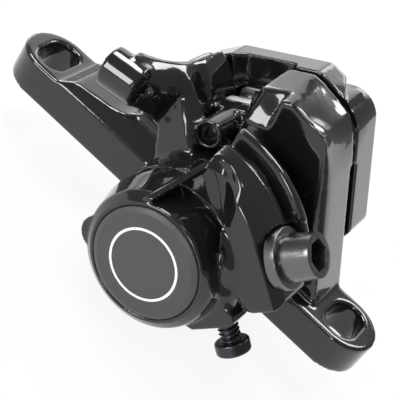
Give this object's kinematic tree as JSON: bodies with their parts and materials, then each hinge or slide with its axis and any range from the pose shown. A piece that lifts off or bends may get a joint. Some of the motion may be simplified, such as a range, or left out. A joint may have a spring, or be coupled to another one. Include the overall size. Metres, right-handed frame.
{
  "type": "bicycle disc brake caliper",
  "caption": "Cable pulled bicycle disc brake caliper in gloss black, with slotted post-mount ears, cable lever with pinch bolt, round hub cap, casing stop and a window over the pads.",
  "frame": {"origin": "midway between the two bolt slots, on the mounting face under the ears", "axes": "+X along the line of the two bolt slots, away from the casing stop; +Y inboard, towards the wheel and rotor, along the actuator axis; +Z out along the mounting bolts"},
  "size_m": [0.0878, 0.048, 0.0445],
  "materials": {
    "body_paint": "gloss black paint on cast aluminium",
    "lever_paint": "gloss black paint on cast aluminium",
    "bolt_steel": "zinc plated",
    "spring_steel": "bright",
    "plate_steel": "bright, satin",
    "hard_steel": "ground",
    "friction": "matt, resin bound",
    "cage_plastic": "satin",
    "bush_bronze": "sintered",
    "seal_rubber": "matt",
    "cap_plastic": "satin, dark grey",
    "pinch_steel": "black chrome, satin",
    "screw_black": "black oxide",
    "adjuster_paint": "black anodised"
  },
  "bodies": {
    "caliper_body": {"outer_body": "body_paint", "inner_body": "body_paint", "body_bolts": "bolt_steel", "pad_axle": "bolt_steel", "snap_clip": "spring_steel", "pad_spring": "spring_steel", "thrust_washer": "hard_steel", "spindle_bush": "bush_bronze", "return_spring": "spring_steel", "dust_seal": "seal_rubber", "adjuster_ring": "seal_rubber"},
    "lever": {"lever_arm": "lever_paint", "spindle": "hard_steel", "hub_washer": "bolt_steel", "hub_nut": "bolt_steel", "hub_cap": "cap_plastic", "pinch_bolt": "pinch_steel", "pinch_washer": "pinch_steel"},
    "cage": {"ball_cage": "cage_plastic", "ramp_balls": "hard_steel"},
    "outer_pad": {"push_rod": "hard_steel", "push_ramp": "hard_steel", "outer_pad_plate": "plate_steel", "outer_pad_lining": "friction"},
    "adjuster": {"pad_adjuster": "adjuster_paint"},
    "inner_pad": {"inner_pad_plate": "plate_steel", "inner_pad_lining": "friction"},
    "tension": {"tension_screw": "screw_black"}
  },
  "joints": [
    {"name": "lever_pull", "type": "hinge", "parent": "caliper_body", "child": "lever", "pos_m": [0.006, 0, 0.006], "axis": [0, -1, 0], "range_deg": [0, 30], "stiffness_Nm_per_rad": 0.3, "springref_deg": -34.38},
    {"name": "cage_roll", "type": "hinge", "parent": "caliper_body", "child": "cage", "pos_m": [0.006, 0, 0.006], "axis": [0, -1, 0], "range_deg": [0, 15]},
    {"name": "outer_pad_push", "type": "slide", "parent": "caliper_body", "child": "outer_pad", "axis": [0, 1, 0], "range_m": [0, 0.0009]},
    {"name": "adjuster_turn", "type": "hinge", "parent": "caliper_body", "child": "adjuster", "pos_m": [0.006, 0, 0.006], "axis": [0, -1, 0], "range_deg": [0, 270]},
    {"name": "inner_pad_shift", "type": "slide", "parent": "caliper_body", "child": "inner_pad", "axis": [0, -1, 0], "range_m": [0, 0.00075]},
    {"name": "tension_turn", "type": "hinge", "parent": "lever", "child": "tension", "pos_m": [0.02262, -0.0197, 0.00339], "axis": [0.7604, 0, -0.6494], "range_deg": [-180, 180]}
  ],
  "couplings": [
    {"joint": "cage_roll", "follows": "lever_pull", "ratio": 0.4999},
    {"joint": "outer_pad_push", "follows": "lever_pull", "m_per_rad": 0.0017188},
    {"joint": "inner_pad_shift", "follows": "adjuster_turn", "m_per_rad": 0.00015915}
  ]
}
